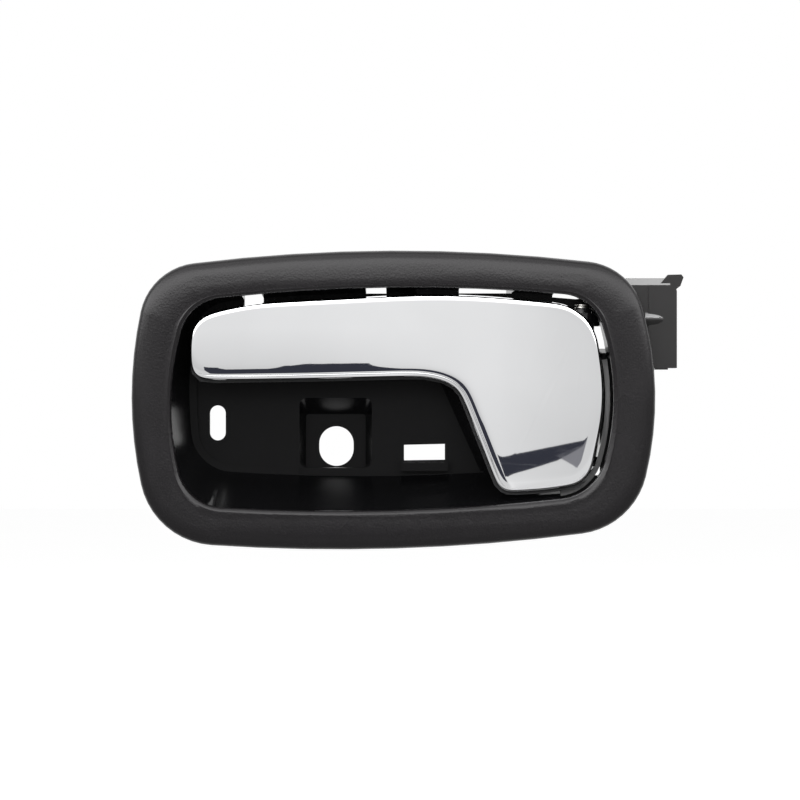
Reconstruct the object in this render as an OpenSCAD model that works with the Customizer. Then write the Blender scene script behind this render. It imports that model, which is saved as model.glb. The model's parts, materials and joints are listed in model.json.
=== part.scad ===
// Interior door handle: grained bezel, cup housing and spring-returned
// plated pull lever on a vertical hinge pin.
//
// Drawn in millimetres about the centre of the bezel. The front looks
// towards -Y, +X is to the right and +Z is up, so Y is depth into the door.
// placed() then moves everything so that the origin is the centre of the
// fixing hole, on the face that lies against the door.

/* [Show] */
// Piece to show

/* [Bezel] */
// Depth of the bezel from its face to the seat on the door trim
bezel_depth = 7.5; // [7:0.1:9]
// Wall of the bezel moulding
bezel_wall = 2; // [1.8:0.1:2.4]
// Gap between the bezel's inner lip and the cup
seam = 0.35; // [0.2:0.05:0.5]
// How far the bezel's top band leans back at its outer edge
top_lean = 1.6; // [0.4:0.1:1.8]

/* [Cup] */
// Depth of the cup floor
floor_depth = 28; // [26:0.5:30]
// Height of the narrow step above the cup floor
step_rise = 2; // [1.5:0.1:3]
// Width of the narrow step
step_w = 2.4; // [1.5:0.1:3]
// Wall of the housing moulding
wall = 2; // [1.6:0.1:2.4]
// Depth of the raised platform behind the lever
deck_depth = 14; // [13.5:0.1:15]

/* [Fixing pocket] */
// Sideways position of the fixing hole
fix_x = -20.7; // [-22:0.1:-19]
// Height of the fixing hole
fix_z = -15; // [-16:0.1:-14]
// Width of the fixing hole
fix_w = 11.2; // [9:0.1:12]
// Height of the fixing hole
fix_h = 12.9; // [12:0.1:14]
// Depth of the pocket floor
pocket_depth = 36; // [33:0.5:40]
// Thickness of the pocket floor
pocket_floor = 2.4; // [2:0.1:4]

/* [Lever] */
// Depth of the lever face at its rim
lever_depth = 3.9; // [3.5:0.1:4.5]
// Radius of the slight crown of the lever face
lever_crown = 220; // [180:5:400]
// Wall of the plated skin
skin_wall = 1.2; // [1:0.1:1.5]
// Gap between the finger side of the lever and the raised platform
lever_gap = 2; // [1.8:0.1:2.4]

/* [Hinge] */
// Sideways position of the hinge pin
hinge_x = 58; // [57:0.1:58.5]
// Depth of the hinge pin
hinge_y = 10.6; // [10.5:0.1:10.8]
// Diameter of the hinge pin
pin_d = 4; // [3:0.1:4.4]
// Radial running clearance of the hinge
run_gap = 0.05; // [0.03:0.01:0.1]
// Distance from the hinge pin to the cable eye
arm_r = 11.4; // [11:0.1:12]
// Bore of the cable eye bush
eye_d = 3.2; // [3:0.1:3.6]

/* [Cable anchor] */
// Depth of the front of the anchor plate
anchor_depth = 18; // [17:0.5:20]
// Height of the cable line
cable_z = 25.8; // [25:0.1:26.5]
// Diameter of the cable channel
channel_d = 2.2; // [1.6:0.1:2.4]

/* [Return spring] */
// Wire diameter
wire_d = 1.2; // [0.8:0.1:1.3]
// Mean radius of the coils
coil_r = 3.9; // [3.6:0.1:4]
// Rise of each coil
coil_pitch = 1.4; // [1.35:0.05:1.6]

/* [Hidden] */

charcoal = [0.27, 0.26, 0.265];
black = [0.09, 0.09, 0.095];
chrome = [0.86, 0.87, 0.88];
steel = [0.62, 0.63, 0.64];
acetal = [0.86, 0.85, 0.81];
soft = [0.05, 0.05, 0.05];

// Outlines as four corner circles [x, z, r], anticlockwise from the upper
// right, and the radii of the crowned edges: top, left, bottom, right.
outer_corners = [[57.5, 24, 20], [-63, 24, 19.5], [-58, -21.5, 24.5], [54.5, -18.5, 24]];
outer_crowns = [525, 130, 600, 105];
lip_corners = [[50.5, 19.5, 14], [-55.3, 18, 14.3], [-55.7, -19.4, 14.5], [49.3, -15.2, 16]];
lip_crowns = [550, 90, 640, 75];
foot_corners = [[51.5, 20, 12.5], [-54, 19, 13], [-53.8, -9.6, 13.6], [49, -8, 13.5]];
foot_crowns = [600, 150, 640, 90];

// Lever outline as corners [x, z, r], anticlockwise from the lower left.
lever_corners = [
    [-66.6, 6.1, 5.6], [-30.3, 6.6, 200], [7.6, 7.5, 25], [18, 5.2, 10],
    [24.8, -11.9, 124], [31.7, -29.6, 5.5], [45.8, -28.8, 54],
    [60.1, -26.6, 9.3], [65.5, 0.2, 90], [62.2, 22.5, 18.5], [54.7, 30.5, 60],
    [16.3, 34.1, 300], [-46.3, 30.9, 70], [-66.6, 26.4, 9]
];
arc_n = 8;
// Stations along the four legs of the lever outline, left to right.
legs = [14, 8, 8, 6];
half_n = legs[0] + legs[1] + legs[2] + legs[3];

corner_n = 10;
edge_n = 8;
ring_n = 4 * (corner_n + edge_n);
// Stations of the lower right corner and right side, where the cup wall
// starts lower and its end face shows beside the lever.
low_from = 3 * (corner_n + edge_n);
low_to = ring_n - 2;

flange_front = 3.35;
flange_back = 5.4;
low_depth = 11;
step_depth = floor_depth - step_rise;
back_depth = floor_depth + wall;
lever_back = deck_depth - lever_gap;

pin_r = pin_d / 2;
ear_r = 3.8;
knuckle_r = 3.8;
fit = 0.02;
anchor_x1 = 88.75;
anchor_z = [10.25, 36.85];
swell = 2.4;
upper_ear = [13.2, 16.2];
lower_ear = [-21, -18.1];
upper_knuckle = [16.4, 27.6];
lower_knuckle = [-18, -14.1];
spigot_r = 2.9;
pin_top = 30.5;
bush_r = pin_r + run_gap + 0.7;
clip_z = lower_ear[0] - 0.95;
arm_z = [cable_z - 1.8, cable_z + 1.8];
eye_y = hinge_y + arm_r;
eye_bush_r = eye_d / 2 + 1;
eye_wall = 1.9;
// Cover behind the upper end of the lever, clear of the cable arm.
cover_y = eye_y + eye_bush_r + eye_wall + 0.7;
cover_z = 23.8;
screw_at = [[-52, 18.5], [36, -18], [38, 20]];
pad_at = [[31, 22], [39, -8]];
// Ring stations of the bezel's snap hooks and of the housing's gussets.
hook_at = [12, 14, 17, 31, 47, 50, 53, 66];
gusset_at = [10, 15, 29, 34, 49, 52, 64];

// Move the drawing so that the fixing hole's seat is the origin.
module placed() {
    translate([-fix_x, -(pocket_depth + pocket_floor), -fix_z])
        children();
}

// Turn a flat X-Z drawing into a plate from depth y0 to depth y1.
module plate(y0, y1) {
    translate([0, y1, 0])
        rotate([90, 0, 0])
            linear_extrude(height = y1 - y0)
                children();
}

// A straight round bar along Y from depth y0 to depth y1.
module bar_y(x, z, r, y0, y1, fn = 48) {
    translate([x, y1, z])
        rotate([90, 0, 0])
            cylinder(r = r, h = y1 - y0, $fn = fn);
}

// A straight round bar along Z.
module bar_z(x, y, r, z0, z1, fn = 48) {
    translate([x, y, z0])
        cylinder(r = r, h = z1 - z0, $fn = fn);
}

// A block given by its two end corners.
module block(a, b) {
    translate(a)
        cube(b - a);
}

function onward(a, b) = b < a ? b + 360 : b;
function mix(a, b, t) = a + (b - a) * t;

// Centre of the edge circle of radius r that touches two corner circles.
function crown_centre(a, b, r) =
    let (d = norm([b.x - a.x, b.y - a.y]))
    let (u = [b.x - a.x, b.y - a.y] / d)
    let (p = r - a.z)
    let (q = r - b.z)
    let (t = (p * p - q * q + d * d) / (2 * d))
    let (h = sqrt(max(0, p * p - t * t)))
    [a.x + t * u.x - h * u.y, a.y + t * u.y + h * u.x];

function on_arc(c, r, a) = [c.x + r * cos(a), c.y + r * sin(a), cos(a), sin(a)];

// Stations [x, z, nx, nz] round a crowned outline.
function crowned(c, r) = [
    for (i = [0:3])
        let (e0 = crown_centre(c[(i + 3) % 4], c[i], r[(i + 3) % 4]))
        let (e1 = crown_centre(c[i], c[(i + 1) % 4], r[i]))
        let (q = c[(i + 1) % 4])
        let (a0 = atan2(c[i].y - e0.y, c[i].x - e0.x))
        let (a1 = onward(a0, atan2(c[i].y - e1.y, c[i].x - e1.x)))
        let (a2 = onward(a1, atan2(q.y - e1.y, q.x - e1.x)))
        each concat(
            [for (k = [0:corner_n - 1]) on_arc(c[i], c[i].z, mix(a0, a1, k / corner_n))],
            [for (k = [0:edge_n - 1]) on_arc(e1, r[i], mix(a1, a2, k / edge_n))]
        )
];

outer = crowned(outer_corners, outer_crowns);
lip = crowned(lip_corners, lip_crowns);
foot = crowned(foot_corners, foot_crowns);

// A station moved inwards by d, flat and at depth y.
function inset(s, d) = [s[0] - d * s[2], s[1] - d * s[3]];
function at_depth(p, y) = [p.x, y, p.y];
function flat(list, d) = [for (s = list) inset(s, d)];

// Stations with rounded corners from a polygon [x, z, r].
function rounded(v, n) = [
    for (i = [0:len(v) - 1])
        let (a = v[(i + len(v) - 1) % len(v)])
        let (b = v[i])
        let (c = v[(i + 1) % len(v)])
        let (p = [b.x - a.x, b.y - a.y])
        let (q = [c.x - b.x, c.y - b.y])
        let (side = p.x * q.y - p.y * q.x > 0 ? 1 : -1)
        let (half = acos(min(1, (p * q) / (norm(p) * norm(q)))) / 2)
        let (t = min(b.z * tan(half), 0.49 * min(norm(p), norm(q))))
        let (r = t / tan(half))
        let (g0 = atan2(p.y, p.x))
        let (s = [b.x, b.y] - p / norm(p) * t)
        let (m = s + side * r * [-sin(g0), cos(g0)])
        each [
            for (k = [0:n])
                let (g = g0 + side * 2 * half * k / n)
                [m.x + side * r * sin(g), m.y - side * r * cos(g), sin(g), -cos(g)]
        ]
];

lever_path = rounded(lever_corners, arc_n);
path_n = len(lever_path);

// Length along the path, stretched where it bends.
function stretch(a, b) =
    norm([b[0] - a[0], b[1] - a[1]])
    + 7 * norm([b[2] - a[2], b[3] - a[3]]);
path_s = [
    for (i = 0, s = 0; i <= path_n;
        s = s + stretch(lever_path[i % path_n], lever_path[(i + 1) % path_n]), i = i + 1)
        s
];
function path_table(c) = [for (i = [0:path_n]) [path_s[i], lever_path[i % path_n][c]]];
path_tables = [for (c = [0:3]) path_table(c)];
function on_path(s) =
    let (p = [for (c = [0:3]) lookup(s, path_tables[c])])
    let (n = norm([p[2], p[3]]))
    [p[0], p[1], p[2] / n, p[3] / n];
function knot(corner, k) = path_s[corner * (arc_n + 1) + k];
function leg(a, b, n) = [for (k = [0:n - 1]) on_path(mix(a, b, k / n))];

// Lever stations: along the lower edge from the left end to the right
// side, then back along the upper edge, so station i faces station -i.
lever = concat(
    leg(0, knot(3, 4), legs[0]),
    leg(knot(3, 4), knot(5, 4), legs[1]),
    leg(knot(5, 4), knot(7, 4), legs[2]),
    leg(knot(7, 4), knot(8, 4), legs[3]),
    leg(knot(8, 4), knot(9, 4), legs[3]),
    leg(knot(9, 4), knot(10, 0), legs[2]),
    leg(knot(10, 0), knot(11, 4), legs[1]),
    leg(knot(11, 4), path_s[path_n], legs[0])
);
lever_n = len(lever);

// Faces between rings of n points, each ring joined to the next.
function side_faces(n, m, closed) = [
    for (r = [0:m - (closed ? 1 : 2)], i = [0:n - 1])
        let (a = r * n + i)
        let (b = r * n + (i + 1) % n)
        let (c = ((r + 1) % m) * n + (i + 1) % n)
        let (d = ((r + 1) % m) * n + i)
        each [[a, b, c], [a, c, d]]
];

// Solid between rings that are listed from the front to the back.
module loft(rings) {
    n = len(rings[0]);
    m = len(rings);
    ends = [[for (i = [n - 1:-1:0]) i], [for (i = [0:n - 1]) (m - 1) * n + i]];
    polyhedron(
        points = [for (r = rings) each r],
        faces = concat(side_faces(n, m, false), ends),
        convexity = 6
    );
}

// Depth and blend from the lip outline to the foot outline of the cup wall.
cup_levels = [
    [0, 0], [flange_front, 0], [step_depth * 0.46, 0.37], [step_depth * 0.73, 0.67],
    [step_depth * 0.885, 0.85], [step_depth - 0.8, 0.95], [step_depth, 1]
];
function cup_ring(y, t, out) = [
    for (i = [0:ring_n - 1])
        at_depth(mix(inset(lip[i], -seam - out), inset(foot[i], -out), t), y)
];

// Share of the band width that the bezel's outer wall takes.
wall_share = bezel_wall / 12.6;

// Bezel section from the inner lip over the face to the outer edge, then back
// along the underside: [part of the band width, depth, slope share].
bezel_face = [
    [1, 1.6, 0], [0.985, 1, 0], [0.95, 0.5, 0], [0.9, 0.38, 0.4],
    [0.86, 0.72, 1], [0.8, 1.02, 1], [0.72, 0.6, 1], [0.58, 0.12, 0.5],
    [0.4, 0, 0], [0.25, 0.15, 0], [0.15, 0.5, 0], [0.07, 1.15, 0],
    [0.02, 2.2, 0], [0, 3.4, 0]
];
bezel_under = [
    [0, bezel_depth, 0], [wall_share, bezel_depth, 0], [wall_share, 3.2, 0],
    [0.3, 2.4, 0], [0.55, 2.1, 0], [0.8, 2.9, 0], [0.9, 3.25, 0], [1, 3.25, 0]
];

// Rings of a bezel section, leaning back by lean along the top.
function bezel_rings(section, lean) = [
    for (s = section) [
        for (i = [0:ring_n - 1])
            let (t = s[0] + s[2] * 0.05 * lip[i][3])
            let (back = lean * max(0, lip[i][3]) * (1 - t))
            at_depth(mix(inset(outer[i], 0), inset(lip[i], 0), t), s[1] + back)
    ]
];

// Put children at a ring station, local X pointing out across the band.
module at_station(list, i) {
    translate([list[i][0], 0, list[i][1]])
        rotate([0, -atan2(list[i][3], list[i][2]), 0])
            children();
}

// Snap hook with a barb that catches behind the flange.
module hook() {
    translate([0, 0, -3])
        linear_extrude(height = 6)
            polygon([
                [4.6, 2], [6, 2], [6, flange_back + 0.15], [6.8, flange_back + 0.15],
                [6, bezel_depth - 0.2], [4.6, bezel_depth - 0.2]
            ]);
}

module bezel() {
    rings = concat(bezel_rings(bezel_face, top_lean), bezel_rings(bezel_under, 0));
    color(charcoal)
        placed()
            union() {
                polyhedron(
                    points = [for (r = rings) each r],
                    faces = side_faces(ring_n, len(rings), true),
                    convexity = 8
                );
                for (i = hook_at)
                    at_station(lip, i)
                        hook();
            }
}

// Outline inside the bezel's outer wall, moved inwards by d.
function under_bezel(d) = [
    for (i = [0:ring_n - 1])
        mix(inset(outer[i], d), inset(lip[i], d), wall_share)
];

// Flange that carries the bezel, with a rib that bears on the door trim.
module flange() {
    difference() {
        union() {
            plate(flange_front, flange_back)
                polygon(under_bezel(0.3));
            plate(flange_back - 0.1, bezel_depth)
                difference() {
                    polygon(under_bezel(0.3));
                    polygon(under_bezel(1.9));
                }
        }
        for (i = hook_at)
            at_station(lip, i)
                block([4.3, flange_front - 1, -3.3], [7, bezel_depth + 1, 3.3]);
    }
}

// Band between two parallel curves of the lip, along the stations low.
function low_band(d0, d1) = concat(
    [for (i = [low_from:low_to]) inset(lip[i], d0)],
    [for (i = [low_to:-1:low_from]) inset(lip[i], d1)]
);

// Closed gutter between the bezel's lip and the low part of the cup wall.
module gutter() {
    plate(flange_front, low_depth + 3.6)
        polygon(low_band(-2.4, -0.4));
    plate(low_depth + 2, low_depth + 3.6)
        polygon(low_band(-2.4, 3));
}

// Drafted pocket round the fixing hole, larger by g on every side.
module pocket(g, y0, y1) {
    hull() {
        plate(y0, step_depth + 2.1)
            offset(r = 2.5 + g, $fn = 32)
                translate([-30, -19.4])
                    square([18.4, 17.6]);
        plate(y1 - 0.1, y1)
            offset(r = 0.8 + g, $fn = 32)
                translate([-29.8, -21.1])
                    square([17.8, 15.7]);
    }
}

// Section of the raised deck, extruded along its slanted left edge.
module deck_run(section) {
    translate([13.3, 0, 5.2])
        rotate([0, -24.15, 0])
            translate([0, 0, -55])
                linear_extrude(height = 100)
                    polygon(section);
}

deck_slope = 4.6;
deck_section = [
    [0, floor_depth], [deck_slope, deck_depth], [90, deck_depth],
    [90, back_depth], [0, back_depth]
];
hollow_section = [
    [wall, back_depth + 1], [wall, floor_depth], [deck_slope + wall - 0.6, deck_depth + wall],
    [90, deck_depth + wall], [90, back_depth + 1]
];

// Bearing ear of the hinge, tied into the right wall of the cup.
module ear(z) {
    translate([0, 0, z[0]])
        linear_extrude(height = z[1] - z[0])
            union() {
                translate([hinge_x, hinge_y])
                    circle(r = ear_r, $fn = 64);
                polygon([
                    [hinge_x - ear_r, hinge_y], [hinge_x + ear_r, hinge_y],
                    [64.2, 13.8], [67.4, 15], [67.4, 25], [61.5, 25],
                    [59.5, 17.5], [hinge_x - ear_r, 14]
                ]);
            }
}

// Cable anchor to the right of the bezel: stepped box with a soft swelling
// over the cable line, a conduit seat behind and a hooked finger.
module anchor() {
    y0 = anchor_depth;
    y1 = y0 + 8;
    x1 = anchor_x1;
    z0 = anchor_z[0];
    z1 = anchor_z[1];
    r = 2.2;
    difference() {
        union() {
            plate(y0, y1)
                union() {
                    translate([79.65, z0])
                        square([x1 - r - 79.65, z1 - z0]);
                    translate([x1 - r - 1, z0])
                        square([r + 1, z1 - z0 - r]);
                    translate([x1 - r, z1 - r])
                        circle(r = r, $fn = 64);
                }
            block([62, y0 + 0.5, z0], [81, y1, z1]);
        }
        block([60, y0 + 2.5, z0 + 1.8], [x1 - 1.8, y1 + 1, z1 - 1.8]);
    }
    block([81.7, y0 + 0.3, z0 - 0.5], [85.9, y0 + 6, z0 + 1]);
    translate([72.7, 0, 0])
        rotate([90, 0, 90])
            linear_extrude(height = 14)
                polygon([
                    [y0 + 1.5, z1 - 1.5], [y0 + 0.8, z1 - 0.2], [y0 + 3, z1 + 2.3],
                    [y1 - 0.1, z1 + 2.3], [y1 - 0.1, z1 - 1], [y0 + 4, z1 - 1.5]
                ]);
    plate(y0 + 1.5, y0 + 5.5)
        polygon([[82.9, 36.6], [86, 40.2], [90.3, 40.3], [91, 39.4], [90, 36.6], [87.6, 34.8]]);
    translate([78.6, y0 + 1.5, cable_z])
        rotate([0, 90, 0])
            rotate_extrude($fn = 64)
                polygon(concat([[0, 0]], [for (k = [0:8]) swell * [cos(k * 11.25), 3.2 * sin(k * 11.25)]]));
    block([79.8, y0 + 2.2, cable_z - 4.8], [x1 - 0.2, y1 - 0.1, cable_z + 4.8]);
}

module anchor_cuts() {
    seat_r = 2.6;
    translate([82, eye_y, cable_z])
        rotate([0, 90, 0])
            cylinder(r = seat_r, h = 12, $fn = 48);
    block([82, eye_y, cable_z - seat_r + 0.3], [94, eye_y + 8, cable_z + seat_r - 0.3]);
    translate([60, eye_y, cable_z])
        rotate([0, 90, 0])
            cylinder(r = channel_d / 2, h = 30, $fn = 32);
    block([66, eye_y, cable_z - channel_d / 2], [90, eye_y + 8, cable_z + channel_d / 2]);
}

// Slots through the upper wall of the cup and beside the hinge.
module windows() {
    block([-50.2, 1, 29.5], [-44, back_depth + 1, 38.5]);
    block([-10.9, 1, 34.35], [-4.4, back_depth + 1, 38.5]);
    translate([0, 0, 34.05])
        linear_extrude(height = 4.5)
            polygon([[18.8, 1], [36.3, 1], [36.3, 6], [34.3, back_depth + 1], [18.8, back_depth + 1]]);
    plate(6, cover_y + 4)
        polygon([[48.6, 32.8], [58.6, 32], [56.8, 33.6], [55.2, 33.9], [54.8, 38], [49.4, 38]]);
    translate([60, 0, 0])
        rotate([90, 0, 90])
            linear_extrude(height = 6.8)
                polygon([[13, 14.9], [floor_depth, 16.6], [back_depth + 1, 16.6],
                    [back_depth + 1, cover_z], [13, cover_z]]);
}

// Cover behind the upper end of the mechanism bay, tied into the cup wall
// above the cable arm.
module bay_cover() {
    y1 = cover_y + wall;
    intersection() {
        block([49, cover_y - 1, cover_z], [70, y1 + 1, 36]);
        plate(cover_y, y1)
            polygon(flat(foot, 0.15 - wall));
    }
    intersection() {
        block([49, 10, arm_z[1] + 1.6], [70, y1 + 1, 36]);
        plate(step_depth - 3, y1)
            difference() {
                polygon(flat(foot, 0.15 - wall));
                polygon(flat(foot, -0.1));
            }
    }
}

module slot_2d(w, h) {
    union() {
        for (s = [-1, 1])
            translate([0, s * (h - w) / 2])
                circle(r = w / 2, $fn = 64);
        square([w, h - w], center = true);
    }
}

module housing() {
    color(black)
        placed()
            difference() {
                union() {
                    difference() {
                        union() {
                            difference() {
                                union() {
                                    loft([
                                        cup_ring(flange_front, 0, wall),
                                        cup_ring(step_depth - 3, 0.85, wall),
                                        cup_ring(step_depth, 1, wall),
                                        cup_ring(back_depth, 1, wall)
                                    ]);
                                    flange();
                                    gutter();
                                    pocket(wall, step_depth + 1, pocket_depth + pocket_floor);
                                    anchor();
                                    for (i = gusset_at)
                                        at_station(lip, i)
                                            translate([0, 0, -0.8])
                                                linear_extrude(height = 1.6)
                                                    polygon([
                                                        [1, flange_back - 0.2], [8.4, flange_back - 0.2],
                                                        [8.4, flange_back + 0.8], [1.2, 19]
                                                    ]);
                                }
                                loft([for (l = cup_levels) cup_ring(l[0], l[1], 0)]);
                                plate(step_depth - 0.5, floor_depth)
                                    intersection() {
                                        polygon(flat(foot, step_w));
                                        translate([-80, -40])
                                            square([48, 80]);
                                    }
                                plate(step_depth - 0.5, floor_depth)
                                    intersection() {
                                        polygon(flat(foot, 0.3));
                                        translate([-32.5, -40])
                                            square([110, 80]);
                                    }
                            }
                            intersection() {
                                deck_run(deck_section);
                                loft([
                                    cup_ring(deck_depth - 1, 0.41, 1),
                                    cup_ring(step_depth, 1, 1),
                                    cup_ring(back_depth, 1, 1)
                                ]);
                            }
                            block([0.2, floor_depth - 4, -22.9], [15.5, floor_depth + 0.5, -20]);
                        }
                        intersection() {
                            deck_run(hollow_section);
                            plate(deck_depth, back_depth + 2)
                                polygon(flat(foot, 1));
                        }
                        plate(0, low_depth)
                            polygon(low_band(-0.25, 4));
                        block([44, deck_depth - 2, -24], [63.8, back_depth + 1, 29.6]);
                    }
                    plate(low_depth, back_depth)
                        polygon(low_band(0.5, 2.1));
                    ear(upper_ear);
                    ear(lower_ear);
                    bay_cover();
                }
                plate(low_depth - 1, low_depth + 2)
                    polygon(low_band(-0.25, 0.5));
                pocket(0, step_depth - 1, pocket_depth);
                plate(pocket_depth - 1, pocket_depth + pocket_floor + 1)
                    translate([fix_x, fix_z])
                        slot_2d(fix_w, fix_h);
                plate(step_depth, back_depth + 1)
                    translate([-58.9, -7.4])
                        slot_2d(5.1, 11.3);
                plate(step_depth, back_depth + 1)
                    polygon([[1.3, -19.5], [14.5, -19.3], [14.5, -14.2], [1.3, -14.5]]);
                windows();
                bar_z(hinge_x, hinge_y, spigot_r + 0.3, upper_knuckle[1] - 2, pin_top + 0.4, 64);
                for (z = [upper_ear, lower_ear])
                    bar_z(hinge_x, hinge_y, bush_r, z[0] - 1, z[1] + 1, 64);
                for (p = pad_at)
                    bar_y(p.x, p.y, 1.5, deck_depth - 1, deck_depth + wall + 1);
                anchor_cuts();
                // Notch through which the cable's end is laid in from below.
                block([hinge_x - 2.6, eye_y - 2.6, -32], [hinge_x + 2.6, back_depth + 1, -20]);
            }
}

// Share of the creased lower edge in the lever's section at a station.
lower_to = legs[0] + legs[1] + legs[2];
function lower_share(i) = i < 1 || i > lower_to + 4 ? 0
    : i < 2 ? 0.6
    : i <= lower_to ? 1 : (lower_to + 5 - i) / 5;

// Rings of the lever from the cap that faces out, over the edge, to the cap
// inside: [inset below, depth below, inset elsewhere, depth elsewhere].
module lever_shell(rings, cap_out, cap_in, columns = 4) {
    n = lever_n;
    m = len(rings);
    function ring_point(r, i) =
        let (t = lower_share(i))
        at_depth(inset(lever[i], mix(r[2], r[0], t)), mix(r[3], r[1], t));
    function cap_point(r, k, c, bulge) =
        let (a = ring_point(r, k))
        let (b = ring_point(r, n - k))
        let (v = c / columns)
        let (w = norm(b - a))
        mix(a, b, v) + [0, bulge * w * w / (2 * lever_crown) * v * (1 - v), 0];
    function cap_points(r, bulge) = [
        for (k = [1:half_n - 1], c = [1:columns - 1]) cap_point(r, k, c, bulge)
    ];
    function cap_index(base, ring, k, c) =
        c == 0 ? ring * n + k
        : c == columns ? ring * n + (n - k)
        : base + (k - 1) * (columns - 1) + c - 1;
    function cap_faces(base, ring) = concat(
        [
            for (k = [1:half_n - 2], c = [0:columns - 1])
                let (p = cap_index(base, ring, k, c))
                let (q = cap_index(base, ring, k, c + 1))
                let (s = cap_index(base, ring, k + 1, c + 1))
                let (t = cap_index(base, ring, k + 1, c))
                each [[p, q, s], [p, s, t]]
        ],
        [
            for (c = [0:columns - 1])
                [ring * n, cap_index(base, ring, 1, c + 1), cap_index(base, ring, 1, c)]
        ],
        [
            for (c = [0:columns - 1])
                [ring * n + half_n, cap_index(base, ring, half_n - 1, c),
                    cap_index(base, ring, half_n - 1, c + 1)]
        ]
    );
    cap_n = (half_n - 1) * (columns - 1);
    polyhedron(
        points = concat(
            [for (r = rings, i = [0:n - 1]) ring_point(r, i)],
            cap_points(rings[0], cap_out),
            cap_points(rings[m - 1], cap_in)
        ),
        faces = concat(
            side_faces(n, m, false),
            cap_faces(n * m, 0),
            [for (f = cap_faces(n * m + cap_n, m - 1)) [f[2], f[1], f[0]]]
        ),
        convexity = 8
    );
}

skin_back = lever_depth + 3.1;
skin_inside = lever_depth + skin_wall + 0.1;

module lever_skin() {
    y = lever_depth;
    color(chrome)
        placed()
            difference() {
                union() {
                    lever_shell([
                        [3.8, y, 3.8, y], [2.6, y + 0.09, 2.4, y + 0.06],
                        [1.75, y + 0.3, 1.4, y + 0.22], [1.4, y + 0.58, 0.8, y + 0.46],
                        [1.15, y + 0.5, 0.45, y + 0.7], [0.35, y + 0.75, 0.15, y + 1.05],
                        [0, y + 1.25, 0, y + 1.5], [0, skin_back, 0, skin_back],
                        [skin_wall, skin_back, skin_wall, skin_back],
                        [skin_wall, y + 2.2, skin_wall, y + 2.2],
                        [4.8, skin_inside, 4.8, skin_inside]
                    ], -1, -1);
                    for (p = screw_at)
                        bar_y(p.x, p.y, 2.6, skin_inside - 0.9, lever_back - 1.8, 32);
                }
                for (p = screw_at)
                    bar_y(p.x, p.y, 1.2 + fit, skin_inside + 0.7, lever_back, 32);
            }
}

// Barrel of the lever on the hinge pin, kept behind the skin.
module knuckle(z) {
    intersection() {
        bar_z(hinge_x, hinge_y, knuckle_r, z[0], z[1], 64);
        block([hinge_x - 6, skin_back + 0.05, z[0] - 1], [hinge_x + 6, 20, z[1] + 1]);
    }
}

module lever_core() {
    b = lever_back;
    rim = skin_back + 0.05;
    color(black)
        placed()
            difference() {
                union() {
                    difference() {
                        lever_shell([
                            [4.8, b - 1.6, 4.8, b - 1.6], [3, b - 2.4, 3, b - 2.4],
                            [3, rim - 1, 3, rim - 1], [1.45, rim - 1, 1.45, rim - 1],
                            [1.45, rim, 1.45, rim], [-0.8, rim, 0.15, rim],
                            [-0.8, mix(rim, b, 0.24), 0.15, mix(rim, b, 0.24)],
                            [1.2, mix(rim, b, 0.32), 1.2, mix(rim, b, 0.32)],
                            [1.8, mix(rim, b, 0.6), 1.8, mix(rim, b, 0.6)],
                            [3, mix(rim, b, 0.84), 3, mix(rim, b, 0.84)], [4.8, b, 4.8, b]
                        ], 0, 0);
                        block([50, 3, lower_knuckle[1] + 0.05], [66, 20, upper_knuckle[0] - 0.05]);
                        block([52.2, rim - 0.03, -25.8], [66, 20, lower_ear[1] + 0.05]);
                        block([53.8, 3, -25.8], [62.2, 20, lower_ear[1] + 0.05]);
                    }
                    knuckle(upper_knuckle);
                    knuckle(lower_knuckle);
                    bar_z(hinge_x, hinge_y, spigot_r, upper_knuckle[1] - 0.1, pin_top - 1.45, 64);
                    translate([0, 0, arm_z[0]])
                        linear_extrude(height = arm_z[1] - arm_z[0])
                            union() {
                                translate([hinge_x, eye_y])
                                    circle(r = eye_bush_r + eye_wall, $fn = 64);
                                translate([hinge_x - 3.5, hinge_y + 1])
                                    square([7, arm_r - 1]);
                            }
                    block([44.5, hinge_y - coil_r + wire_d / 2 + 0.25, -4.5], [47.5, b - 1, 0.5]);
                }
                bar_z(hinge_x, hinge_y, pin_r + fit, -30, 40, 64);
                bar_z(hinge_x, eye_y, eye_bush_r + fit, arm_z[0] - 1, arm_z[1] + 1, 64);
                for (p = screw_at) {
                    bar_y(p.x, p.y, 1.5, b - 3, b + 1, 32);
                    bar_y(p.x, p.y, 2.9, b - 1, b + 1, 32);
                }
            }
}

module skin_screws() {
    b = lever_back;
    color(steel)
        placed()
            for (p = screw_at)
                difference() {
                    union() {
                        bar_y(p.x, p.y, 1.2, skin_inside + 1, b - 0.9, 32);
                        bar_y(p.x, p.y, 2.4, b - 1, b + 0.5, 32);
                    }
                    block([p.x - 1.5, b - 0.3, p.y - 0.3], [p.x + 1.5, b + 1, p.y + 0.3]);
                    block([p.x - 0.3, b - 0.3, p.y - 1.5], [p.x + 0.3, b + 1, p.y + 1.5]);
                }
}

module hinge_pin() {
    color(steel)
        placed()
            difference() {
                union() {
                    bar_z(hinge_x, hinge_y, pin_r, clip_z - 0.8, pin_top - 0.2, 64);
                    bar_z(hinge_x, hinge_y, pin_r + 0.4, pin_top - 1.4, pin_top - 0.8, 64);
                    bar_z(hinge_x, hinge_y, pin_r + 0.4, pin_top - 0.4, pin_top, 64);
                }
                difference() {
                    bar_z(hinge_x, hinge_y, pin_r + 1, clip_z - 0.05, clip_z + 0.8, 64);
                    bar_z(hinge_x, hinge_y, pin_r - 0.5, clip_z - 1, clip_z + 2, 64);
                }
            }
}

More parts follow.
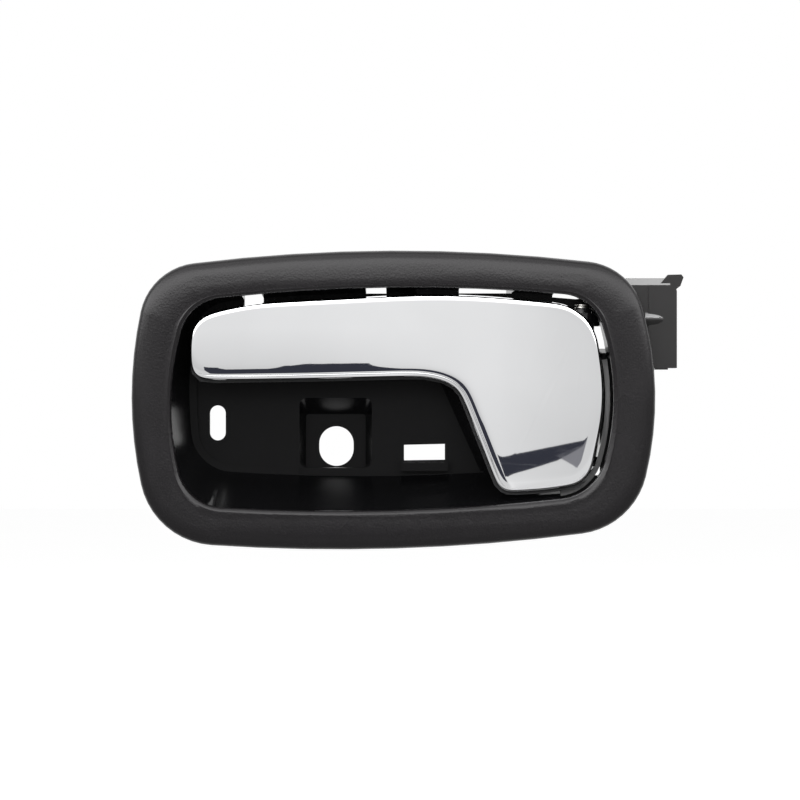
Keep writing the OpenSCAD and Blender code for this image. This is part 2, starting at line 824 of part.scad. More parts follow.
// Spring clip in the groove at the foot of the hinge pin.
module pin_clip() {
    color(steel)
        placed()
            translate([hinge_x, hinge_y, clip_z])
                linear_extrude(height = 0.75)
                    difference() {
                        circle(r = 3, $fn = 64);
                        circle(r = pin_r - 0.5 + fit, $fn = 64);
                        translate([0, -1.2])
                            square([5, 2.4]);
                        for (s = [-1, 1])
                            rotate(s * 120)
                                translate([2.1, 0])
                                    circle(r = 0.5, $fn = 32);
                    }
}

module hinge_bushes() {
    color(acetal)
        placed()
            for (z = [upper_ear, lower_ear])
                difference() {
                    bar_z(hinge_x, hinge_y, bush_r - fit, z[0], z[1], 64);
                    bar_z(hinge_x, hinge_y, pin_r + run_gap, z[0] - 1, z[1] + 1, 64);
                }
}

// Torsion spring round the hinge pin: the front leg bears on the lever, the
// rear leg catches behind the edge of the deck.
module return_spring() {
    first = 270;
    // The rear leg runs straight from the coil past the edge of the deck.
    edge = [44 - hinge_x, deck_depth + wall + wire_d / 2 + 0.16 - hinge_y];
    last = 7 * 360 + atan2(edge.y, edge.x) - acos(coil_r / norm(edge));
    steps = 96;
    z0 = -2;
    coil = [
        for (k = [0:steps])
            let (a = mix(first, last, k / steps))
            [hinge_x + coil_r * cos(a), hinge_y + coil_r * sin(a),
                z0 + coil_pitch * (a - first) / 360]
    ];
    tail = coil[steps] + 17 * [-sin(last), cos(last), 0];
    path = concat([[45.5, hinge_y - coil_r, z0]], coil, [tail]);
    n = len(path);
    sides = 8;
    r = wire_d / 2;
    rings = [
        for (i = [0:n - 1])
            let (t = path[min(i + 1, n - 1)] - path[max(i - 1, 0)])
            let (u = cross(t, [0, 0, 1]) / norm(cross(t, [0, 0, 1])))
            let (v = cross(u, t) / norm(t))
            [for (k = [0:sides - 1]) path[i] + r * (cos(360 * k / sides) * u + sin(360 * k / sides) * v)]
    ];
    color(steel)
        placed()
            loft(rings);
}

module rest_pads() {
    color(soft)
        placed()
            for (p = pad_at)
                union() {
                    bar_y(p.x, p.y, 3, lever_back + 0.3, deck_depth);
                    bar_y(p.x, p.y, 1.5 - fit, deck_depth - 0.1, deck_depth + wall + 0.8);
                }
}

module cable_bush() {
    color(acetal)
        placed()
            difference() {
                union() {
                    bar_z(hinge_x, eye_y, eye_bush_r, arm_z[0], arm_z[1] + 0.1, 64);
                    bar_z(hinge_x, eye_y, eye_bush_r + 1, arm_z[1] + 0.02, arm_z[1] + 0.8, 64);
                }
                bar_z(hinge_x, eye_y, eye_d / 2, arm_z[0] - 1, arm_z[1] + 2, 64);
            }
}

bezel();
housing();
lever_skin();
lever_core();
skin_screws();
hinge_pin();
pin_clip();
hinge_bushes();
return_spring();
rest_pads();
cable_bush();
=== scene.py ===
import json
from bisect import bisect_left
from math import atan2, hypot, radians

import bpy
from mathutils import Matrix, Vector


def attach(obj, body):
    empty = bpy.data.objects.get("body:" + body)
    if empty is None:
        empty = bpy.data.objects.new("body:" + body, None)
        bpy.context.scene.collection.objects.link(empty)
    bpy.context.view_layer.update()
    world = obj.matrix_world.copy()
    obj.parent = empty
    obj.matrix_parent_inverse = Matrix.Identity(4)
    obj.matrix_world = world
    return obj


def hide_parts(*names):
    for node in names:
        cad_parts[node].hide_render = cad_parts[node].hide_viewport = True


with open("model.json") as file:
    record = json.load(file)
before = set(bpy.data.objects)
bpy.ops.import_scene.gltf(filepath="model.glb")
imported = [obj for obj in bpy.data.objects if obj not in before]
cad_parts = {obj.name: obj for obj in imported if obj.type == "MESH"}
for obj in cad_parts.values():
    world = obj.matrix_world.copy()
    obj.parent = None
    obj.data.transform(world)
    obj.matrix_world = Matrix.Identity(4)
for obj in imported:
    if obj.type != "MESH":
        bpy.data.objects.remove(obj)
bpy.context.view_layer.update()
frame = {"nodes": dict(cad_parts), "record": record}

perMetre = 1000              # millimetres in a metre
scene = bpy.context.scene
scene.view_settings.view_transform = "Standard"
bpy.ops.object.select_all(action="DESELECT")

# camera
camera = {
    "x": 0.0207, "y": -1.1384, "z": 0.015,
    "frameWidth": 0.2534,        # metres across the picture
    "frameDistance": 1.105,
    "sensor": 36.0,
    "near": 0.01, "far": 20,
}


def addCamera(opt):
    bpy.ops.object.camera_add(location=(opt["x"], opt["y"], opt["z"]), rotation=(radians(90), 0, 0))
    cam = bpy.context.object
    cam.name = "camera"
    cam.data.sensor_width = opt["sensor"]
    cam.data.lens = opt["sensor"] * opt["frameDistance"] / opt["frameWidth"]
    cam.data.clip_start = opt["near"]
    cam.data.clip_end = opt["far"]
    scene.camera = cam


addCamera(camera)
print("camera ready")


# node helpers
def addMaterial(name):
    mat = bpy.data.materials.new(name)
    mat.use_nodes = True
    tree = mat.node_tree
    tree.nodes.clear()
    return mat, tree


def addNode(tree, kind, settings=None, **sockets):
    node = tree.nodes.new(kind)
    for key, value in (settings or {}).items():
        setattr(node, key, value)
    for key, value in sockets.items():
        socket = node.inputs[key.replace("_", " ")]
        if isinstance(value, bpy.types.NodeSocket):
            tree.links.new(value, socket)
        else:
            socket.default_value = value
    return node


def ramp(tree, fac, stops):
    node = addNode(tree, "ShaderNodeValToRGB", Fac=fac)
    elements = node.color_ramp.elements
    while len(elements) < len(stops):
        elements.new(0.5)
    for element, (place, shade) in zip(elements, stops):
        element.position = place
        element.color = (*shade, 1) if isinstance(shade, tuple) else (shade, shade, shade, 1)
    return node.outputs["Color"]


def scaled(colour, k):
    return tuple(min(1, c * k) for c in colour)


# stage
stage = {
    "floorZ": -0.145,
    "floorSize": 8,
    "floorShade": 0.80,
    "floorCloud": 6.0,           # size and strength of the paper's slow change of tone
    "floorTone": 0.01,
    "floorGlow": 0.66,           # lifts the paper to white where the camera sees it
    "floorBounce": 0.35,         # what it throws back under the part
    "roomAbove": 0.42,           # soft fill from above and from below
    "roomBelow": 0.14,
    "roomMirror": 18.2,          # what gloss mirrors: the shares in the ramps below times this
    "heightSpan": (-0.2, 0.8),   # upward part of a direction that the ceiling ramp covers
    "ceiling": [(0.0, 0.092), (0.05, 0.083), (0.10, 0.083), (0.18, 0.0895), (0.26, 0.0905),
                (0.32, 0.0915), (0.36, 0.16), (0.40, 0.38), (0.45, 0.85), (0.60, 0.95),
                (0.80, 0.85), (0.92, 0.6), (1.0, 0.35)],
    "noCeiling": [(0.0, 0.08), (1.0, 0.10)],
    "turnSpan": (-0.15, 0.15),   # the ceiling ends where a direction turns rearward
    "acrossSpan": (-0.1, 0.1),
    "across": [(0.0, 0.905), (0.25, 0.91), (0.34, 0.93), (0.43, 0.95), (0.50, 0.945),
               (0.64, 0.925), (0.69, 0.87), (0.74, 0.82), (0.78, 0.80), (1.0, 0.79)],
    "cornerSpan": (-0.02, 0.05), # the lower left is dimmer
    "corner": [(0.0, 0.80), (1.0, 1.0)],
    "leftSpan": (-0.02, 0.02),
    "backSpan": (0.3, 0.7),      # the paper behind the part is brighter
    "back": [(0.0, 0.55), (1.0, 0.95)],
    "fillSpan": 0.6,
}


def lightPath(tree):
    path = addNode(tree, "ShaderNodeLightPath")
    mirror = addNode(tree, "ShaderNodeMath", {"operation": "MAXIMUM"})
    tree.links.new(path.outputs["Is Glossy Ray"], mirror.inputs[0])
    tree.links.new(path.outputs["Is Transmission Ray"], mirror.inputs[1])
    return path.outputs["Is Camera Ray"], mirror.outputs[0]


def mixed(tree, fac, first, second):
    node = addNode(tree, "ShaderNodeMixShader", Fac=fac)
    tree.links.new(first, node.inputs[1])
    tree.links.new(second, node.inputs[2])
    return node.outputs[0]


def spread(tree, value, span):
    node = addNode(tree, "ShaderNodeMapRange", Value=value, From_Min=span[0], From_Max=span[1])
    return node.outputs["Result"]


def blended(tree, fac, first, second, how="MIX"):
    node = addNode(tree, "ShaderNodeMix", {"data_type": "RGBA", "blend_type": how})
    if isinstance(fac, bpy.types.NodeSocket):
        tree.links.new(fac, node.inputs[0])
    else:
        node.inputs[0].default_value = fac
    tree.links.new(first, node.inputs[6])
    tree.links.new(second, node.inputs[7])
    return node.outputs[2]


def multiplied(tree, first, second):
    return blended(tree, 1.0, first, second, "MULTIPLY")


def addWorld(opt):
    world = bpy.data.worlds.new("studio")
    world.use_nodes = True
    tree = world.node_tree
    tree.nodes.clear()
    camera, mirror = lightPath(tree)
    coord = addNode(tree, "ShaderNodeTexCoord")
    parts = addNode(tree, "ShaderNodeSeparateXYZ", Vector=coord.outputs["Generated"])
    # what gloss mirrors: a bright ceiling, and a room that dims to the right and below
    height = spread(tree, parts.outputs["Z"], opt["heightSpan"])
    ceiling = ramp(tree, height, opt["ceiling"])
    noCeiling = ramp(tree, height, opt["noCeiling"])
    rearward = ramp(tree, spread(tree, parts.outputs["Y"], opt["turnSpan"]), [(0.0, 0.0), (1.0, 1.0)])
    upright = blended(tree, rearward, ceiling, noCeiling)
    across = ramp(tree, spread(tree, parts.outputs["X"], opt["acrossSpan"]), opt["across"])
    corner = ramp(tree, spread(tree, parts.outputs["Z"], opt["cornerSpan"]), opt["corner"])
    leftness = ramp(tree, spread(tree, parts.outputs["X"], opt["leftSpan"]), [(0.0, 1.0), (1.0, 0.0)])
    white = addNode(tree, "ShaderNodeRGB")
    white.outputs[0].default_value = (1, 1, 1, 1)
    dimmed = blended(tree, leftness, white.outputs[0], corner)
    back = ramp(tree, spread(tree, parts.outputs["Y"], opt["backSpan"]), opt["back"])
    both = multiplied(tree, multiplied(tree, upright, across), multiplied(tree, dimmed, back))
    tall = addNode(tree, "ShaderNodeMapRange", Value=parts.outputs["Z"],
                   From_Min=-opt["fillSpan"], From_Max=opt["fillSpan"],
                   To_Min=opt["roomBelow"], To_Max=opt["roomAbove"])
    diffuse = addNode(tree, "ShaderNodeBackground", Color=(1, 1, 1, 1), Strength=tall.outputs["Result"])
    glossy = addNode(tree, "ShaderNodeBackground", Color=both, Strength=opt["roomMirror"])
    paper = addNode(tree, "ShaderNodeBackground", Color=(1, 1, 1, 1), Strength=1.0)
    room = mixed(tree, mirror, diffuse.outputs[0], glossy.outputs[0])
    out = addNode(tree, "ShaderNodeOutputWorld")
    tree.links.new(mixed(tree, camera, room, paper.outputs[0]), out.inputs["Surface"])
    scene.world = world


def addFloor(opt):
    bpy.ops.mesh.primitive_plane_add(size=opt["floorSize"], location=(0, 0, opt["floorZ"]))
    floor = bpy.context.object
    floor.name = "floor"
    mat, tree = addMaterial("floorPaper")
    coord = addNode(tree, "ShaderNodeTexCoord")
    cloud = addNode(tree, "ShaderNodeTexNoise", Vector=coord.outputs["Object"], Scale=opt["floorCloud"])
    shade = ramp(tree, cloud.outputs["Fac"], [(0.3, opt["floorShade"] - opt["floorTone"]),
                                              (0.7, opt["floorShade"])])
    paper = addNode(tree, "ShaderNodeBsdfDiffuse", Color=shade)
    glow = addNode(tree, "ShaderNodeEmission", Color=(1, 1, 1, 1), Strength=opt["floorGlow"])
    lifted = addNode(tree, "ShaderNodeAddShader")
    tree.links.new(paper.outputs[0], lifted.inputs[0])
    tree.links.new(glow.outputs[0], lifted.inputs[1])
    bounce = addNode(tree, "ShaderNodeBsdfDiffuse", Color=(*[opt["floorBounce"]] * 3, 1))
    clear = addNode(tree, "ShaderNodeBsdfTransparent")
    camera, mirror = lightPath(tree)
    around = mixed(tree, mirror, bounce.outputs[0], clear.outputs[0])    # metal mirrors the room
    out = addNode(tree, "ShaderNodeOutputMaterial")
    tree.links.new(mixed(tree, camera, around, lifted.outputs[0]), out.inputs["Surface"])
    floor.data.materials.append(mat)


# lamps light the part, and gloss mirrors the room in their place
softboxes = {
    "softboxTop": {
        "place": (0.02, -0.22, 0.95), "aim": (0.02, 0, 0.02), "width": 1.1, "height": 0.5, "watts": 5,
    },
    "softboxFront": {
        "place": (-0.05, -1.2, 0.10), "aim": (0.02, 0, 0.01), "width": 1.2, "height": 0.6, "watts": 9,
    },
    "softboxLeft": {
        "place": (-0.95, -0.45, 0.25), "aim": (0, 0, 0), "width": 0.5, "height": 0.9, "watts": 2,
    },
    "softboxRight": {
        "place": (0.95, -0.45, 0.25), "aim": (0.02, 0, 0), "width": 0.5, "height": 0.9, "watts": 1.2,
    },
}


def addSoftbox(name, opt):
    bpy.ops.object.light_add(type="AREA", location=opt["place"])
    lamp = bpy.context.object
    lamp.name = name
    lamp.data.shape = "RECTANGLE"
    lamp.data.size = opt["width"]
    lamp.data.size_y = opt["height"]
    lamp.data.energy = opt["watts"]
    lamp.visible_camera = False
    lamp.visible_glossy = False
    turn = (Vector(opt["aim"]) - Vector(opt["place"])).to_track_quat("-Z", "Y")
    lamp.rotation_euler = turn.to_euler()


# dark and grey cards that show only in gloss: [x, z] in metres on a plane in front
cards = {
    "y": -0.4345,
    "darkShade": (0.035, 0.037, 0.05),
    "greyShade": (0.23, 0.23, 0.25),
    "dark": [
        [(-0.072, -0.012), (-0.066, 0.0175), (-0.058, 0.0175), (-0.054, 0.007), (-0.036, 0.008),
         (-0.029, 0.0205), (-0.020, 0.0245), (0.0075, 0.0245), (0.0145, 0.002), (0.022, -0.030),
         (0.034, -0.034), (0.050, -0.085), (0.052, -0.105), (-0.070, -0.105)],
        [(0.0535, -0.0541), (0.0625, -0.0533), (0.1069, -0.0352), (0.0888, -0.0557), (0.0639, -0.0722),
         (0.0535, -0.0760)],
    ],
    "grey": [[(0.0880, -0.0514), (0.1069, -0.0360), (0.0997, -0.0651)]],
}


def addCard(name, outline, shade, y):
    mesh = bpy.data.meshes.new(name)
    mesh.from_pydata([(x, y, z) for x, z in outline], [], [list(range(len(outline)))])
    card = bpy.data.objects.new(name, mesh)
    scene.collection.objects.link(card)
    mat, tree = addMaterial(name + "Board")
    board = addNode(tree, "ShaderNodeEmission", Color=(*shade, 1), Strength=1.0)
    out = addNode(tree, "ShaderNodeOutputMaterial")
    tree.links.new(board.outputs[0], out.inputs["Surface"])
    mesh.materials.append(mat)
    card.visible_camera = False
    card.visible_diffuse = False
    card.visible_shadow = False


addWorld(stage)
addFloor(stage)
for name, opt in softboxes.items():
    addSoftbox(name, opt)
for i, outline in enumerate(cards["dark"]):
    addCard("darkCard%d" % i, outline, cards["darkShade"], cards["y"])
for i, outline in enumerate(cards["grey"]):
    addCard("greyCard%d" % i, outline, cards["greyShade"], cards["y"])
print("stage ready")


# finishes
def objectNoise(tree, scale, detail=2.0, roughness=0.5, stretch=None):
    coord = addNode(tree, "ShaderNodeTexCoord").outputs["Object"]
    if stretch:
        coord = addNode(tree, "ShaderNodeMapping", Vector=coord, Scale=stretch).outputs["Vector"]
    return addNode(tree, "ShaderNodeTexNoise", Vector=coord, Scale=scale, Detail=detail,
                   Roughness=roughness).outputs["Fac"]


def closeMaterial(tree, shader):
    out = addNode(tree, "ShaderNodeOutputMaterial")
    tree.links.new(shader.outputs[0], out.inputs["Surface"])


# slow changes of tone and gloss on the mouldings
moulding = {"cloudScale": 38.0, "rubScale": 95.0, "toneSpread": 0.05, "glossSpread": 0.015}


def grainedPlastic(name, opt):
    mat, tree = addMaterial(name)
    coord = addNode(tree, "ShaderNodeTexCoord").outputs["Object"]
    cells = addNode(tree, "ShaderNodeTexVoronoi", {"feature": "SMOOTH_F1"}, Vector=coord,
                    Scale=opt["grainScale"], Smoothness=0.6)
    fine = objectNoise(tree, opt["grainScale"] * 2.3, 3.0)
    height = addNode(tree, "ShaderNodeMix", {"data_type": "FLOAT"})
    height.inputs[0].default_value = 0.4
    tree.links.new(cells.outputs["Distance"], height.inputs[2])
    tree.links.new(fine, height.inputs[3])
    bump = addNode(tree, "ShaderNodeBump", Strength=opt["grainStrength"], Distance=opt["grainDepth"],
                   Height=height.outputs[0])
    cloud = objectNoise(tree, moulding["cloudScale"], 3.0)
    tone = ramp(tree, cloud, [(0.3, scaled(opt["colour"], 1 - moulding["toneSpread"])),
                              (0.7, scaled(opt["colour"], 1 + moulding["toneSpread"]))])
    rub = objectNoise(tree, moulding["rubScale"], 4.0)
    gloss = addNode(tree, "ShaderNodeMapRange", Value=rub, From_Min=0.3, From_Max=0.7,
                    To_Min=opt["roughness"] - moulding["glossSpread"],
                    To_Max=opt["roughness"] + moulding["glossSpread"])
    shader = addNode(tree, "ShaderNodeBsdfPrincipled", Base_Color=tone,
                     Roughness=gloss.outputs["Result"], Normal=bump.outputs["Normal"])
    shader.inputs["Specular IOR Level"].default_value = opt["specular"]
    closeMaterial(tree, shader)
    return mat


def chromePlate(name, opt):
    mat, tree = addMaterial(name)
    ripple = objectNoise(tree, opt["rippleScale"], 1.0)
    hair = objectNoise(tree, opt["hairScale"], 2.0, 0.6, opt["hairStretch"])
    sleek = ramp(tree, hair, [(0.62, 0.0), (0.7, 1.0)])
    wave = addNode(tree, "ShaderNodeBump", Strength=opt["ripple"], Distance=opt["rippleDepth"],
                   Height=ripple)
    gloss = addNode(tree, "ShaderNodeMapRange", Value=sleek, From_Min=0.0, From_Max=1.0,
                    To_Min=opt["roughness"], To_Max=opt["roughness"] + opt["hairGloss"])
    cloud = objectNoise(tree, opt["cloudScale"], 2.0)
    tone = ramp(tree, cloud, [(0.35, scaled(opt["colour"], opt["cloudTone"])), (0.65, opt["colour"])])
    shader = addNode(tree, "ShaderNodeBsdfPrincipled", Base_Color=tone, Metallic=1.0,
                     Roughness=gloss.outputs["Result"], Normal=wave.outputs["Normal"])
    closeMaterial(tree, shader)
    return mat


# drawing marks and dull spots on the steel
plating = {"markScale": 1500.0, "markStrength": 0.25, "markDepth": 0.00003, "spotScale": 260.0,
           "spotTone": 0.82, "glossBelow": 0.06, "glossAbove": 0.08}


def platedMetal(name, opt):
    mat, tree = addMaterial(name)
    drawn = objectNoise(tree, plating["markScale"], 2.0, 0.6, opt["drawn"])
    spots = objectNoise(tree, plating["spotScale"], 4.0)
    tone = ramp(tree, spots, [(0.35, scaled(opt["colour"], plating["spotTone"])), (0.6, opt["colour"])])
    gloss = addNode(tree, "ShaderNodeMapRange", Value=spots, From_Min=0.3, From_Max=0.7,
                    To_Min=opt["roughness"] - plating["glossBelow"],
                    To_Max=opt["roughness"] + plating["glossAbove"])
    bump = addNode(tree, "ShaderNodeBump", Strength=plating["markStrength"],
                   Distance=plating["markDepth"], Height=drawn)
    shader = addNode(tree, "ShaderNodeBsdfPrincipled", Base_Color=tone, Metallic=1.0,
                     Roughness=gloss.outputs["Result"], Normal=bump.outputs["Normal"])
    closeMaterial(tree, shader)
    return mat


bezelFinish = {"colour": (0.0125, 0.0115, 0.0125), "grainScale": 1500.0, "grainStrength": 0.9,
               "grainDepth": 0.00005, "roughness": 0.27, "specular": 0.18}
cupFloorFinish = {"colour": (0.0085, 0.0085, 0.0088), "grainScale": 2600.0, "grainStrength": 0.10,
                  "grainDepth": 0.00002, "roughness": 0.38, "specular": 0.03}
cupWallFinish = {"colour": (0.0045, 0.0045, 0.005), "grainScale": 2600.0, "grainStrength": 0.06,
                 "grainDepth": 0.00002, "roughness": 0.24, "specular": 0.3}
anchorFinish = {"colour": (0.0085, 0.008, 0.008), "grainScale": 2200.0, "grainStrength": 0.2,
                "grainDepth": 0.00003, "roughness": 0.36, "specular": 0.3}
# painted highlight: the anchor's hood gets a light grey copy of the anchor plastic, standing in for the
# glint of the overhead light
hoodPaintedHighlightFinish = {"colour": (0.30, 0.30, 0.30), "grainScale": 2200.0, "grainStrength": 0.1,
              "grainDepth": 0.00002, "roughness": 0.22, "specular": 0.6}
# painted light: the rim's forward faces get a much lighter grey than the rest of the housing plastic,
# as if lit
rimPaintedLightFinish = {"colour": (0.078, 0.077, 0.078), "grainScale": 2200.0, "grainStrength": 0.2,
             "grainDepth": 0.00003, "roughness": 0.40, "specular": 0.5}
coreFinish = {"colour": (0.006, 0.006, 0.0065), "grainScale": 1500.0, "grainStrength": 0.25,
              "grainDepth": 0.00003, "roughness": 0.36, "specular": 0.3}
acetalFinish = {"colour": (0.74, 0.72, 0.64), "grainScale": 2200.0, "grainStrength": 0.12,
                "grainDepth": 0.00002, "roughness": 0.38, "specular": 0.5}
rubberFinish = {"colour": (0.016, 0.016, 0.016), "grainScale": 1700.0, "grainStrength": 0.7,
                "grainDepth": 0.00005, "roughness": 0.78, "specular": 0.2}
chromeFinish = {"colour": (0.90, 0.905, 0.915), "roughness": 0.02, "rippleScale": 55.0, "ripple": 0.02,
                "rippleDepth": 0.0004, "hairScale": 900.0, "hairStretch": (0.06, 1.0, 1.0),
                "hairGloss": 0.025, "cloudScale": 60.0, "cloudTone": 0.985}
steelFinish = {"colour": (0.58, 0.57, 0.54), "roughness": 0.28, "drawn": (1.0, 1.0, 0.08)}
springFinish = {"colour": (0.42, 0.42, 0.43), "roughness": 0.24, "drawn": (1.0, 1.0, 1.0)}

finishes = {
    "bezel_plastic": grainedPlastic("bezelPlastic", bezelFinish),
    "housing_plastic": grainedPlastic("cupWallPlastic", cupWallFinish),
    "core_plastic": grainedPlastic("corePlastic", coreFinish),
    "acetal": grainedPlastic("acetal", acetalFinish),
    "rubber": grainedPlastic("rubber", rubberFinish),
    "chrome_plate": chromePlate("chromePlate", chromeFinish),
    "steel": platedMetal("zincSteel", steelFinish),
    "spring_steel": platedMetal("springSteel", springFinish),
}
housingExtra = [
    grainedPlastic("cupFloorPlastic", cupFloorFinish),
    grainedPlastic("anchorPlastic", anchorFinish),
    # painted light for the rim's forward faces
    grainedPlastic("rimPaintedLight", rimPaintedLightFinish),
    # painted highlight for the anchor's hood
    grainedPlastic("hoodPaintedHighlight", hoodPaintedHighlightFinish),
]
print("finishes ready")


# pieces from the CAD nodes
def selectOnly(piece):
    bpy.ops.object.select_all(action="DESELECT")
    piece.select_set(True)
    bpy.context.view_layer.objects.active = piece


def applyModifier(piece, kind, **settings):
    modifier = piece.modifiers.new(kind.title(), kind)
    for key, value in settings.items():
        setattr(modifier, key, value)
    selectOnly(piece)
    bpy.ops.object.modifier_apply(modifier=modifier.name)


edges = {
    "weld": 0.000008,
    "flatten": 0.5,              # degrees between faces that are taken as one
    "smooth": 32.0,              # sharper edges are rounded
    "segments": 2,
    "weight": 80,
}


def merged(node, name):
    # a merged copy of a CAD node, ready for finer edges
    piece = bpy.data.objects.new(name, frame["nodes"][node].data.copy())
    scene.collection.objects.link(piece)
    piece.data.materials.clear()
    selectOnly(piece)
    bpy.ops.object.mode_set(mode="EDIT")
    bpy.ops.mesh.select_all(action="SELECT")
    bpy.ops.mesh.remove_doubles(threshold=edges["weld"])
    bpy.ops.object.mode_set(mode="OBJECT")
    return piece


def handOver(piece, node, body, slotName):
    piece.data.materials.append(finishes[slotName])
    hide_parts(node)
    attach(piece, body)


def finishEdges(piece, edge):
    selectOnly(piece)
    bpy.ops.object.mode_set(mode="EDIT")
    bpy.ops.mesh.select_all(action="SELECT")
    bpy.ops.mesh.dissolve_limited(angle_limit=radians(edges["flatten"]))
    bpy.ops.object.mode_set(mode="OBJECT")
    if edge:
        applyModifier(piece, "BEVEL", width=edge, segments=edges["segments"], limit_method="ANGLE",
                      angle_limit=radians(edges["smooth"]), use_clamp_overlap=True)
    selectOnly(piece)
    bpy.ops.object.shade_smooth_by_angle(angle=radians(edges["smooth"]))
    applyModifier(piece, "WEIGHTED_NORMAL", keep_sharp=True, weight=edges["weight"])


def softened(node, name, body, slotName, edge):
    piece = merged(node, name)
    finishEdges(piece, edge)
    handOver(piece, node, body, slotName)
    return piece


# the bezel's face round its groove, by share of the band from the outer edge to the lip:
# depth as drawn, depth here at the top and at the bottom, and how far a station slides
ringFace = {
    "centre": (0.0207, 0.015),
    "face": -0.0384,
    "shares": [0.40, 0.58, 0.72, 0.80, 0.86, 0.90, 0.95],
    "drawn": [0.0, 0.12, 0.60, 1.02, 0.72, 0.38, 0.50],
    "top": [0.0, 0.05, 0.28, 0.44, 0.46, 0.26, 0.45],
    "bottom": [0.0, 0.02, 0.05, 0.07, 0.10, 0.04, 0.30],
    "slides": [0.0, 0.5, 1.0, 1.0, 1.0, 0.4, 0.0],
    "slide": 0.05,
    "reshaped": (0.45, 0.94),    # shares that are moved
    "deepest": 2.0,              # what lies deeper, in mm, is the underside
    "offLine": 0.1,              # farthest that a point may lie from its station, in mm
    "pastEnds": 0.1,             # share of the band that it may lie past either end
    "outerDepths": ((7.45, 7.55), (3.35, 5.1)),     # back and front of the outer wall, in mm
    "lipDepths": ((1.57, 1.63), (3.22, 3.28)),      # front and back of the lip, in mm
}


def along(xs, ys, x):
    # height at x of the line through the points xs, ys
    i = min(max(bisect_left(xs, x), 1), len(xs) - 1)
    t = min(max((x - xs[i - 1]) / (xs[i] - xs[i - 1]), 0), 1)
    return ys[i - 1] + (ys[i] - ys[i - 1]) * t


def atDepths(columns, spans):
    # spots that have a vertex in each span of depth, sorted by direction
    spots = [c for c, depths in columns.items()
             if all(any(low < d < high for d in depths) for low, high in spans)]
    return sorted(spots, key=lambda c: atan2(c[1], c[0]))


def ringStations(piece, opt):
    # each station of the ring as its outer point and its lip point, [x, z] in mm
    cx, cz = opt["centre"]
    columns = {}
    for vertex in piece.data.vertices:
        spot = (round((vertex.co.x - cx) * perMetre, 2), round((vertex.co.z - cz) * perMetre, 2))
        columns.setdefault(spot, []).append((vertex.co.y - opt["face"]) * perMetre)
    outer = atDepths(columns, opt["outerDepths"])
    lip = atDepths(columns, opt["lipDepths"])
    pairs = {}
    for shift in (-2, -1, 0, 1, 2):
        turned = [outer[(i + shift) % len(outer)] for i in range(len(lip))]
        width = sum(hypot(o[0] - n[0], o[1] - n[1]) for o, n in zip(turned, lip))
        pairs[width] = list(zip(turned, lip))
    print("ring stations", len(outer), len(lip))
    return pairs[min(pairs)]


def placeOnBand(x, z, stations, pastEnds):
    # distance from the nearest station, share of the band there and how far it faces up
    best = None
    for (ox, oz), (lx, lz) in stations:
        width = hypot(lx - ox, lz - oz)
        ux, uz = (lx - ox) / width, (lz - oz) / width
        off = abs((x - ox) * uz - (z - oz) * ux)
        share = ((x - ox) * ux + (z - oz) * uz) / width
        if -pastEnds < share < 1 + pastEnds and (best is None or off < best[0]):
            best = (off, share, -uz)
    return best


def shapeRing(piece, opt):
    cx, cz = opt["centre"]
    low, high = opt["reshaped"]
    stations = ringStations(piece, opt)
    for vertex in piece.data.vertices:
        if (vertex.co.y - opt["face"]) * perMetre > opt["deepest"]:
            continue
        x, z = (vertex.co.x - cx) * perMetre, (vertex.co.z - cz) * perMetre
        best = placeOnBand(x, z, stations, opt["pastEnds"])
        if best is None or best[0] > opt["offLine"] or not low < best[1] < high:
            continue
        share, upward = best[1], best[2]
        share -= opt["slide"] * upward * along(opt["shares"], opt["slides"], share)
        t = (upward + 1) / 2
        wanted = (along(opt["shares"], opt["bottom"], share) * (1 - t)
                  + along(opt["shares"], opt["top"], share) * t)
        vertex.co.y += (wanted - along(opt["shares"], opt["drawn"], share)) / perMetre


def shapedRing():
    piece = merged("bezel", "bezelRing")
    shapeRing(piece, ringFace)
    finishEdges(piece, 0.00012)
    handOver(piece, "bezel", "case", "bezel_plastic")


shapedRing()
cup = softened("housing", "cupHousing", "case", "housing_plastic", 0.0004)
softened("lever_core", "leverCore", "lever", "core_plastic", 0.0002)
softened("skin_screws", "skinScrews", "lever", "steel", 0.00012)
softened("hinge_pin", "hingePin", "lever", "steel", 0.00015)
softened("pin_clip", "pinClip", "lever", "spring_steel", 0.0001)
softened("hinge_bushes", "hingeBushes", "case", "acetal", 0.00012)
softened("rest_pads", "restPads", "case", "rubber", 0.0002)
softened("cable_bush", "cableBush", "lever", "acetal", 0.00015)
softened("return_spring", "returnSpring", "case", "spring_steel", 0)
print("moulded and turned pieces ready")


# the housing is polished on its walls, satin on its floor and matt on the anchor; the anchor's hood and
# the rim's forward faces get painted light in lighter greys
cupFaces = {
    "facing": 0.94,              # how squarely a face looks forward to count as floor
    # where the rim's forward faces lie, which get painted light
    "rimX": 0.060, "rimY": -0.0274, "rimNear": 0.0003,
    "anchorX": 0.0845, "anchorY": -0.0215,
    "slope": 0.3,                # faces of the anchor that look up and forward are its hood, which gets a painted highlight
    "floorIndex": 1, "anchorIndex": 2, "paintedRimIndex": 3, "paintedHoodIndex": 4,
}


def finishCup(piece, opt):
    for mat in housingExtra:
        piece.data.materials.append(mat)
    for face in piece.data.polygons:
        forward = face.normal.y < -opt["facing"]
        level = abs(face.center.y - opt["rimY"]) < opt["rimNear"]
        # the rim's forward faces get the painted light
        if forward and level and face.center.x > opt["rimX"]:
            face.material_index = opt["paintedRimIndex"]
        elif face.center.x > opt["anchorX"] and face.center.y > opt["anchorY"]:
            # the hood's up-and-forward faces get the painted highlight, the rest of the anchor its own
            # plastic
            hood = face.normal.z > opt["slope"] and face.normal.y < -opt["slope"]
            face.material_index = opt["paintedHoodIndex"] if hood else opt["anchorIndex"]
        elif forward:
            face.material_index = opt["floorIndex"]


finishCup(cup, cupFaces)


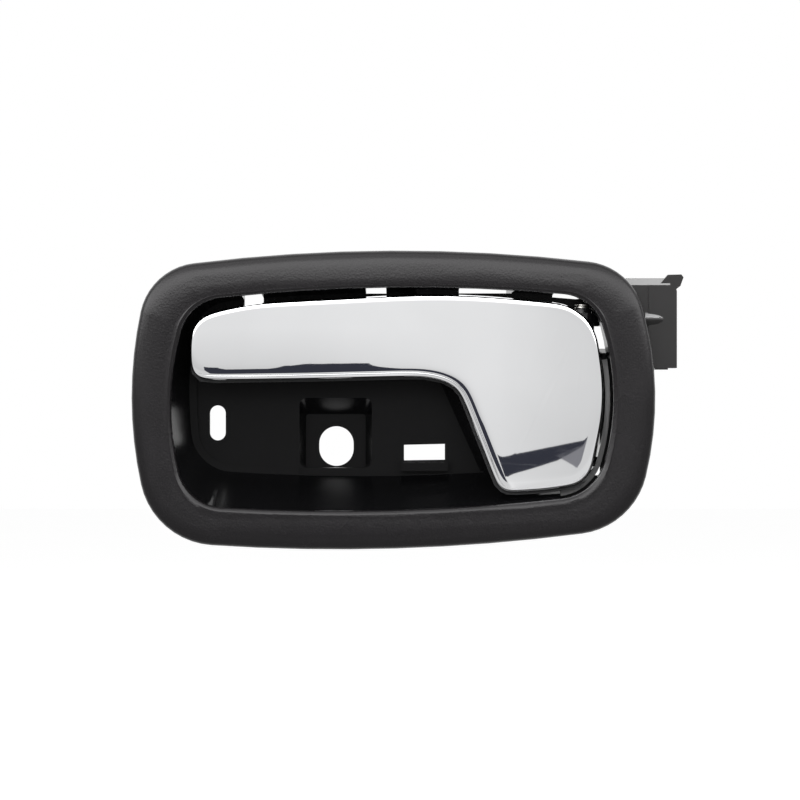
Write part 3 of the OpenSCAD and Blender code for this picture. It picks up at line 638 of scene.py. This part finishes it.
# the plated skin's face is one soft curve from top to bottom, with a tight rolled edge
skinFace = {
    "rimY": -0.0345,             # depth of the face at its rim
    "insideY": -0.0332,
    "facing": 0.2,               # faces that look forward more than this are outside
    "edgeBand": 1.7,             # how far the rolled edge reaches behind the rim, in mm
    "rolled": ([0.0, 0.06, 0.09, 0.22, 0.30, 0.46, 0.50, 0.58, 0.70, 1.05, 1.70],
               [0.0, 0.005, 0.026, 0.02, 0.13, 0.09, 0.12, 0.24, 0.36, 0.92, 1.70]),
    "middleZ": 0.029,
    "radius": 0.60,
    "proud": 0.0013,
    "backDepth": 3.1,            # the curve dies out there, over fadeDepth, in mm
    "fadeDepth": 2,
    "quadAngle": 30.0, "quadShape": 100.0,
    "refine": 2,
    "smooth": 45.0,
}


def flattenFace(piece, opt):
    # flat to the rolled edge, before the mesh is refined
    outside = set()
    for face in piece.data.polygons:
        if face.normal.y < -opt["facing"]:
            outside.update(face.vertices)
    for vertex in piece.data.vertices:
        depth = (vertex.co.y - opt["rimY"]) * perMetre
        if vertex.index in outside and depth < opt["edgeBand"]:
            vertex.co.y = opt["rimY"] + along(*opt["rolled"], max(depth, 0)) / perMetre
        elif vertex.co.y < opt["insideY"]:
            vertex.co.y = opt["insideY"]


def bowFace(piece, opt):
    # bends the refined face about a level line
    for vertex in piece.data.vertices:
        depth = (vertex.co.y - opt["rimY"]) * perMetre
        share = min(1, max(0, (opt["backDepth"] - depth) / opt["fadeDepth"]))
        fall = (vertex.co.z - opt["middleZ"]) ** 2 / (2 * opt["radius"]) - opt["proud"]
        vertex.co.y += fall * share


def addLeverSkin():
    piece = merged("lever_skin", "leverSkin")
    flattenFace(piece, skinFace)
    selectOnly(piece)
    bpy.ops.object.mode_set(mode="EDIT")
    bpy.ops.mesh.select_all(action="SELECT")
    bpy.ops.mesh.tris_convert_to_quads(face_threshold=radians(skinFace["quadAngle"]),
                                       shape_threshold=radians(skinFace["quadShape"]))
    bpy.ops.object.mode_set(mode="OBJECT")
    applyModifier(piece, "SUBSURF", levels=skinFace["refine"], render_levels=skinFace["refine"])
    bowFace(piece, skinFace)
    selectOnly(piece)
    bpy.ops.object.shade_smooth_by_angle(angle=radians(skinFace["smooth"]))
    handOver(piece, "lever_skin", "lever", "chrome_plate")


addLeverSkin()
print("lever skin ready")

slotNames = {s["node"]: s["material_slot"] for s in frame["record"]["subparts"]}
for node in frame["nodes"]:
    cadNode = frame["nodes"][node]
    cadNode.data.materials.clear()
    cadNode.data.materials.append(finishes[slotNames[node]])
